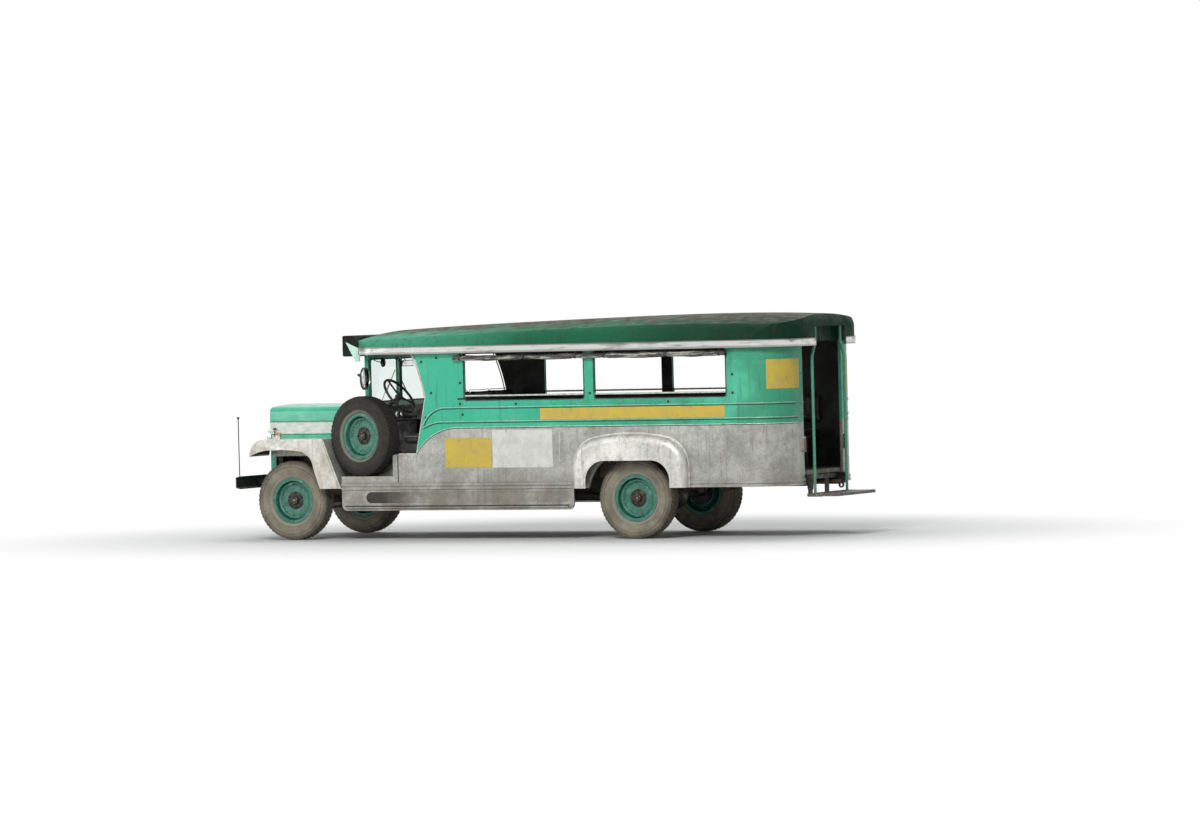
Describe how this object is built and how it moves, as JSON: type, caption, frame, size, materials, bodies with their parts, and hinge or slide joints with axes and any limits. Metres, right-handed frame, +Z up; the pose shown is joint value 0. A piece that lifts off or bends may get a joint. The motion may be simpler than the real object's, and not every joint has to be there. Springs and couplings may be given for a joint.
{
  "type": "jeepney",
  "caption": "Long open-sided public transport jeepney with a hinged hood, steered front wheels, turning wheels, side windows, long passenger benches and a rear doorway.",
  "frame": {"origin": "on the ground below the centre of the vehicle's bounding box", "axes": "+X towards the front bumper, +Y to the vehicle's left, +Z up"},
  "size_m": [6.55, 1.9998, 2.1879],
  "materials": {
    "tyre": "dusty",
    "green_steel": "worn gloss",
    "black_steel": "dirty satin",
    "cast_iron": "oily",
    "rusty_steel": "rusty",
    "galvanised": "mottled zinc",
    "green_paint": "weathered gloss",
    "roof_paint": "weathered gloss",
    "bright_trim": "polished",
    "rail_paint": "worn gloss",
    "glass": "clear",
    "floor": "worn plate",
    "clear_plastic": "glossy film",
    "seat_cover": "worn vinyl",
    "interior_plastic": "matte"
  },
  "bodies": {
    "root": {"front_axle": "black_steel", "rear_axle": "black_steel", "leaf_springs": "black_steel", "chassis_rails": "black_steel", "chassis_cross_members": "black_steel", "engine_block": "cast_iron", "exhaust": "rusty_steel", "fuel_tank": "black_steel", "front_bumper": "black_steel", "front_fenders": "galvanised", "grille": "green_paint", "radiator": "black_steel", "cowl": "green_paint", "windshield_frame": "green_paint", "windshield_glass": "glass", "floor_deck": "floor", "lower_sides": "galvanised", "upper_sides": "green_paint", "side_skirts": "galvanised", "rear_fenders": "galvanised", "roof_shell": "roof_paint", "roof_trim": "bright_trim", "roof_signboard": "black_steel", "grab_rails": "rail_paint", "ceiling_rails": "rail_paint", "rear_step": "galvanised", "rain_curtains": "clear_plastic", "bench_frames": "black_steel", "bench_cushions": "seat_cover", "front_seats": "seat_cover", "spare_tyre": "tyre", "spare_rim": "green_steel", "spare_carrier": "black_steel", "side_mirrors": "black_steel", "dashboard": "interior_plastic", "lamps": "bright_trim"},
    "hood": {"hood": "green_paint"},
    "knuckle_left": {"knuckle_left": "black_steel"},
    "knuckle_right": {"knuckle_right": "black_steel"},
    "tie_rod": {"tie_rod": "black_steel"},
    "steering_wheel": {"steering_wheel": "interior_plastic"},
    "wheel_front_left": {"tyre_front_left": "tyre", "rim_front_left": "green_steel"},
    "wheel_front_right": {"tyre_front_right": "tyre", "rim_front_right": "green_steel"},
    "wheel_rear_left": {"tyre_rear_left": "tyre", "rim_rear_left": "green_steel"},
    "wheel_rear_right": {"tyre_rear_right": "tyre", "rim_rear_right": "green_steel"}
  },
  "joints": [
    {"name": "steer_left", "type": "hinge", "parent": "root", "child": "knuckle_left", "pos_m": [2.625, 0.615, 0.4], "axis": [0, 0, 1], "range_deg": [-30, 30]},
    {"name": "steer_right", "type": "hinge", "parent": "root", "child": "knuckle_right", "pos_m": [2.625, -0.615, 0.4], "axis": [0, 0, 1], "range_deg": [-30, 30]},
    {"name": "tie_rod_pivot", "type": "hinge", "parent": "knuckle_left", "child": "tie_rod", "pos_m": [2.475, 0.615, 0.34], "axis": [0, 0, 1], "range_deg": [-30, 30]},
    {"name": "steering_wheel_turn", "type": "hinge", "parent": "root", "child": "steering_wheel", "pos_m": [1.605, 0.36, 1.43], "axis": [-0.788, 0, 0.6157], "range_deg": [-480, 480]},
    {"name": "spin_front_left", "type": "hinge", "parent": "knuckle_left", "child": "wheel_front_left", "pos_m": [2.625, 0.725, 0.4], "axis": [0, 1, 0], "continuous": true},
    {"name": "spin_front_right", "type": "hinge", "parent": "knuckle_right", "child": "wheel_front_right", "pos_m": [2.625, -0.725, 0.4], "axis": [0, 1, 0], "continuous": true},
    {"name": "spin_rear_left", "type": "hinge", "parent": "root", "child": "wheel_rear_left", "pos_m": [-1.255, 0.725, 0.4], "axis": [0, 1, 0], "continuous": true},
    {"name": "spin_rear_right", "type": "hinge", "parent": "root", "child": "wheel_rear_right", "pos_m": [-1.255, -0.725, 0.4], "axis": [0, 1, 0], "continuous": true},
    {"name": "hood_hinge", "type": "hinge", "parent": "root", "child": "hood", "pos_m": [1.9275, 0, 1.366], "axis": [0, -1, 0], "range_deg": [0, 55]}
  ],
  "couplings": [
    {"joint": "steer_right", "follows": "steer_left", "ratio": 1},
    {"joint": "tie_rod_pivot", "follows": "steer_left", "ratio": -1},
    {"joint": "steering_wheel_turn", "follows": "steer_left", "ratio": 16}
  ]
}
